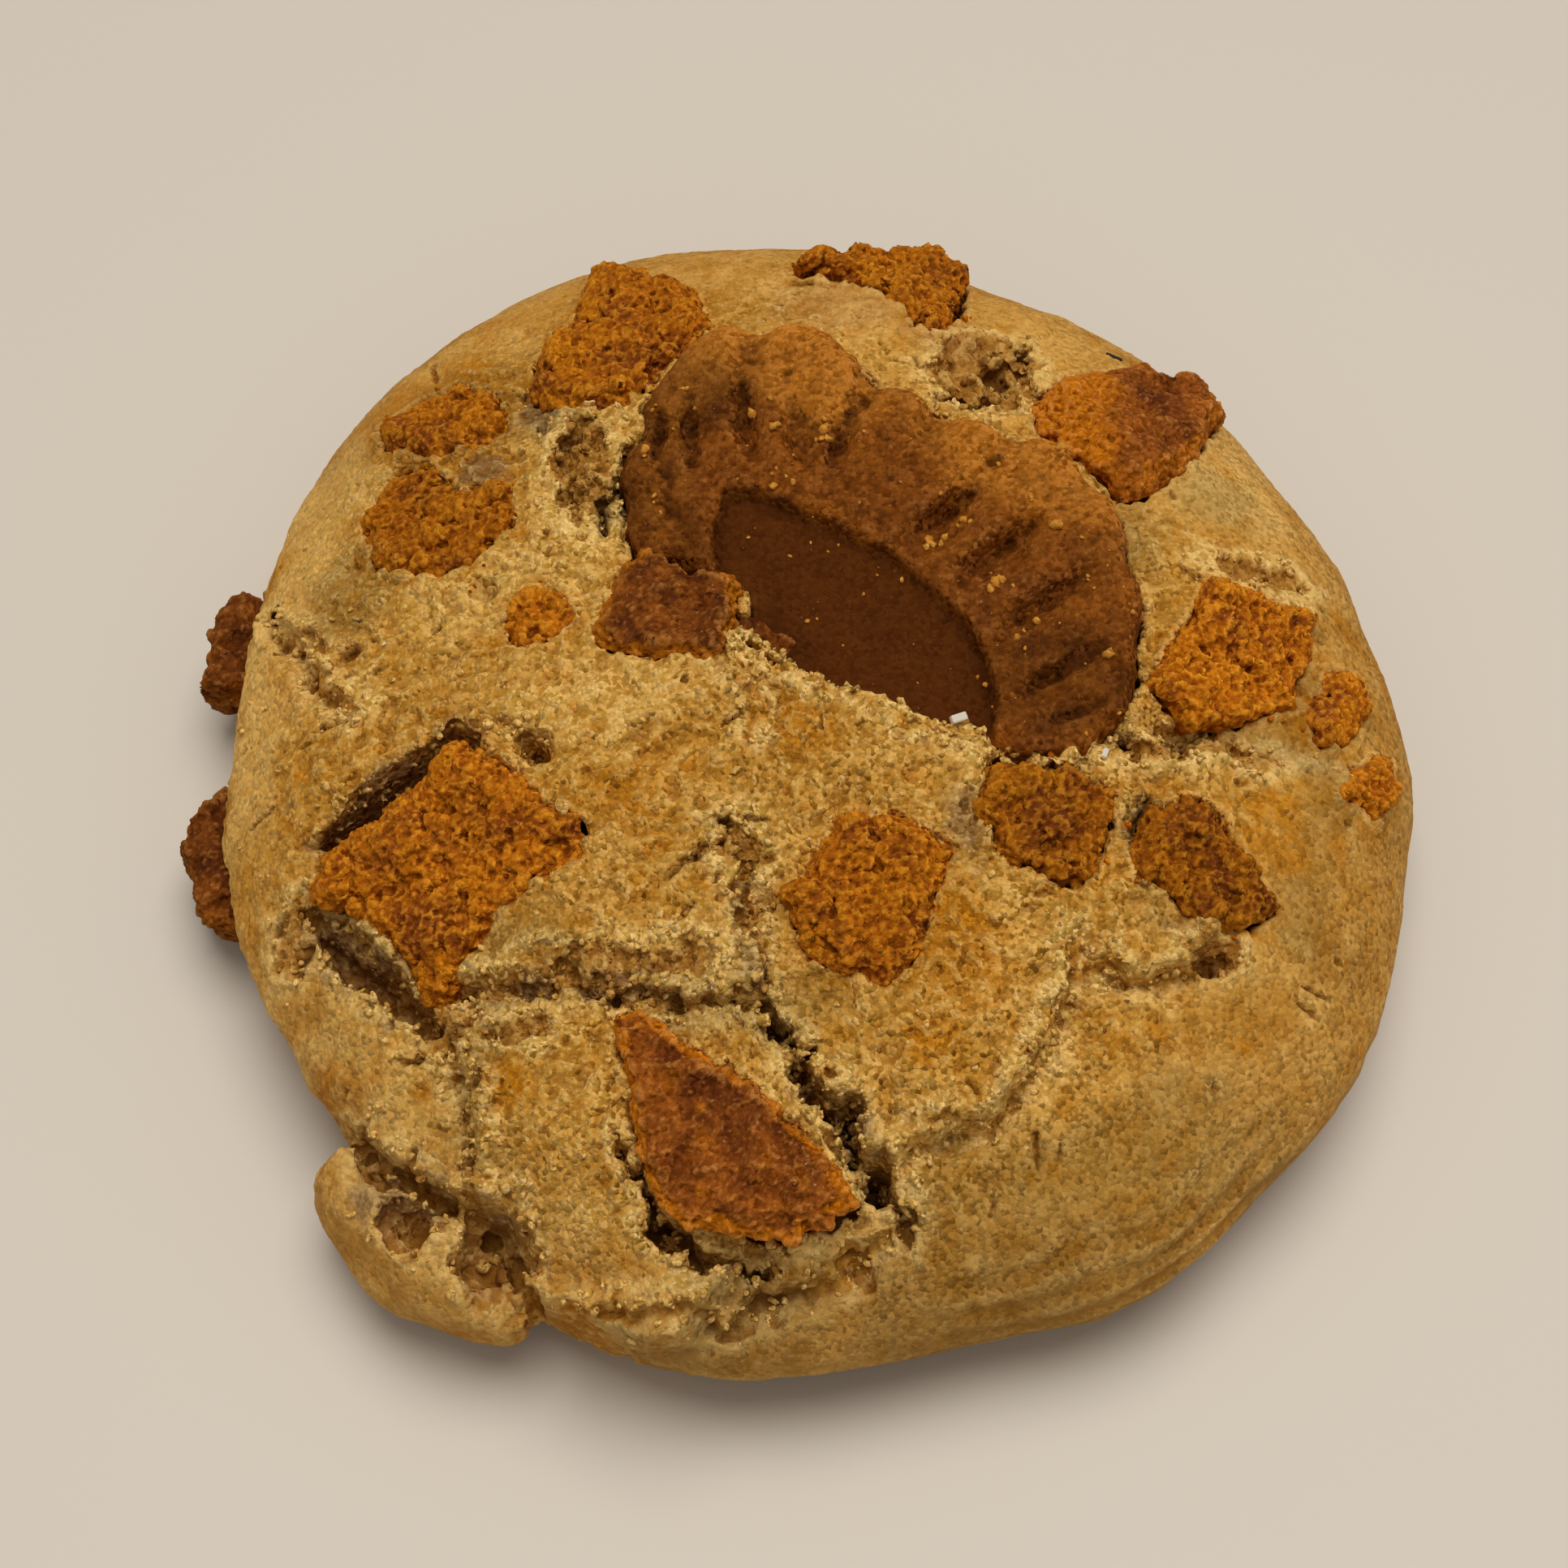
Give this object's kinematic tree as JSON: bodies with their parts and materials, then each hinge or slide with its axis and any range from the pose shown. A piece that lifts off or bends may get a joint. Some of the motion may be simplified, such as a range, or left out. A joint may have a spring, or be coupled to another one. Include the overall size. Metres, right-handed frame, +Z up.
{
  "type": "chunky cookie",
  "caption": "Thick round soft-baked cookie with a cracked domed top, broken spiced biscuit pieces and half a pressed biscuit set in it.",
  "frame": {"origin": "middle of the flat base, on the surface that the cookie rests on", "axes": "+Z up out of the domed top, -Y to the front with the deep crack, +X to the right with the rim of the pressed biscuit"},
  "size_m": [0.0982, 0.0991, 0.0266],
  "materials": {
    "dough": "matte baked dough, sandy and mottled golden, with browned edges and paler torn crumb",
    "pressed_biscuit": "matte fine-grained brown biscuit with a lighter pressed rim and a darker panel",
    "biscuit_crumb": "matte porous orange-brown crumb",
    "biscuit_skin": "matte smooth red-brown baked skin",
    "sugar": "clear to white sugar grains"
  },
  "bodies": {
    "root": {"dough": "dough", "biscuit_half": "pressed_biscuit", "chunk_left_large": "biscuit_crumb", "chunk_centre": "biscuit_crumb", "chunk_centre_right": "biscuit_crumb", "chunk_right_low": "biscuit_crumb", "chunk_front_wedge": "biscuit_skin", "chunk_by_biscuit": "biscuit_skin", "chunk_rear_left": "biscuit_crumb", "chunk_rear": "biscuit_crumb", "chunk_rear_right": "biscuit_skin", "chunk_right": "biscuit_crumb", "chunk_right_edge_small": "biscuit_crumb", "chunk_right_edge": "biscuit_crumb", "chunk_left_upper": "biscuit_crumb", "chunk_left_middle": "biscuit_crumb", "chunk_left_small": "biscuit_crumb", "chunk_side_rear": "biscuit_skin", "chunk_side_front": "biscuit_skin"}
  },
  "joints": []
}
